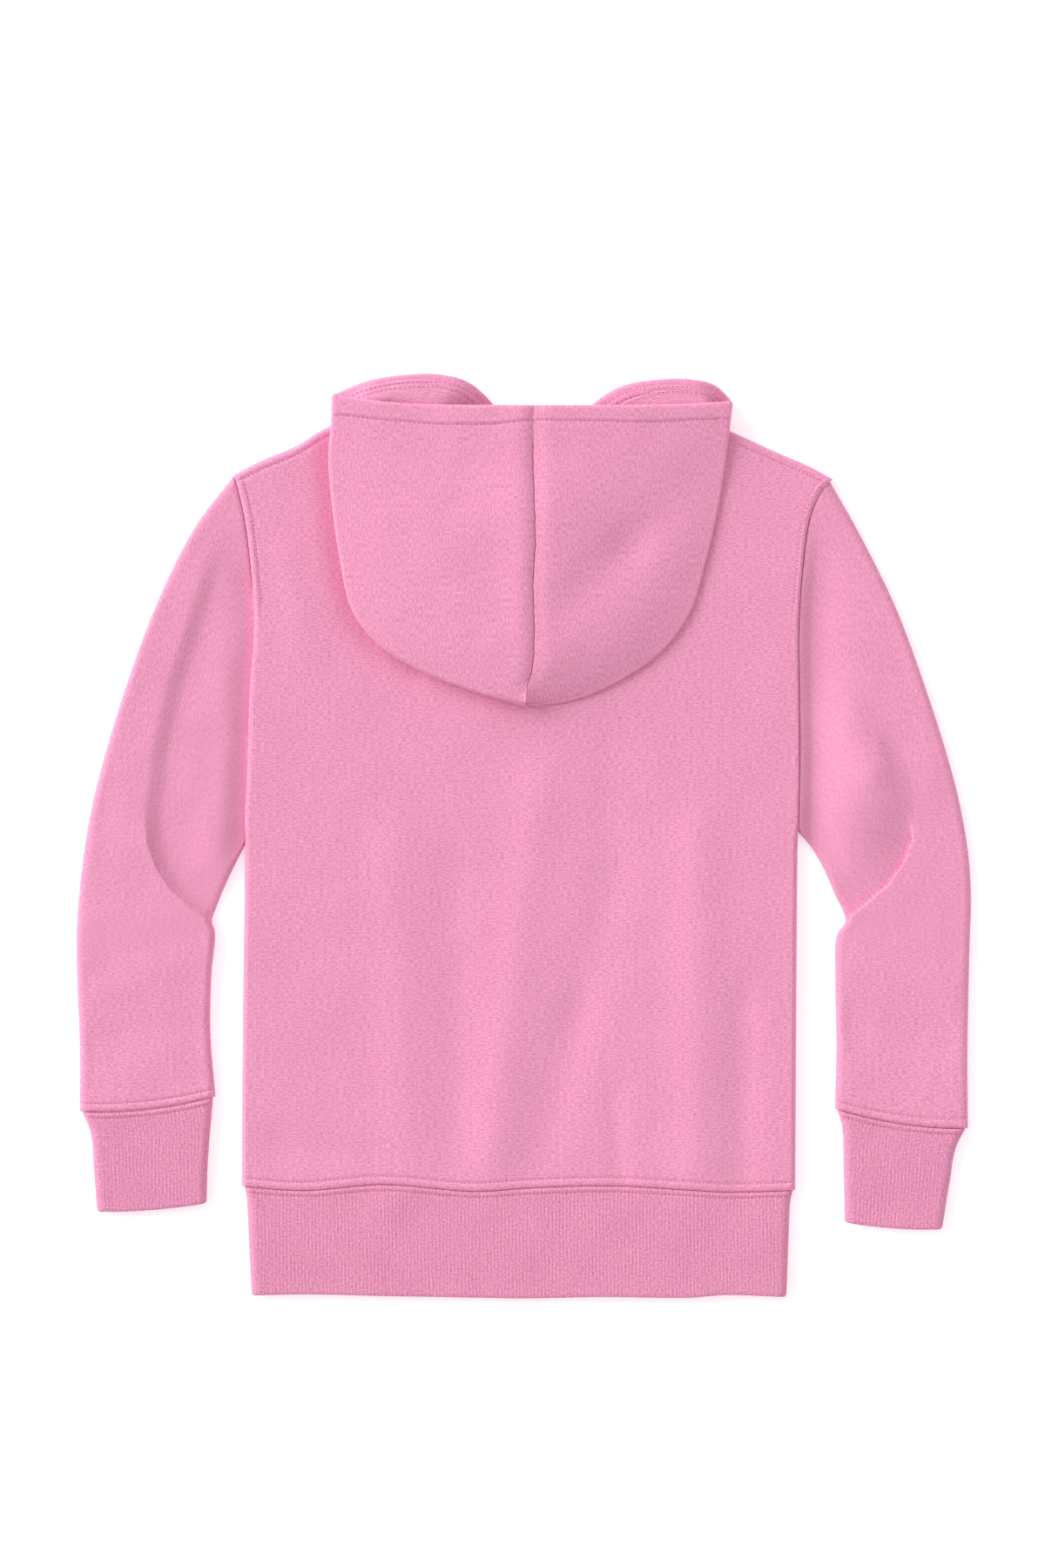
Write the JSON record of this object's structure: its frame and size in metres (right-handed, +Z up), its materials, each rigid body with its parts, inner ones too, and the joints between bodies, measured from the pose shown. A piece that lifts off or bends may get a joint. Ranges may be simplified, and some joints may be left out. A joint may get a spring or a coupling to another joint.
{
  "type": "toddler hoodie laid flat",
  "caption": "Plain pink fleece pullover hoodie for a toddler, laid flat with its back up and the hood folded down, with rib cuffs and waistband.",
  "frame": {"origin": "centre of the rectangle that the laid garment covers, on the surface it lies on", "axes": "+Z up from the surface, +Y from the hem to the hood, +X to the wearer's right, as the back faces up"},
  "size_m": [0.4557, 0.4704, 0.0209],
  "materials": {
    "fleece": "brushed cotton and polyester fleece, jersey face out, matt",
    "rib": "1 by 1 rib knit, doubled, matt"
  },
  "bodies": {
    "root": {"front": "fleece", "back": "fleece", "sleeve_left": "fleece", "sleeve_right": "fleece", "hood_left": "fleece", "hood_right": "fleece", "cuff_left": "rib", "cuff_right": "rib", "waistband": "rib"}
  },
  "joints": []
}
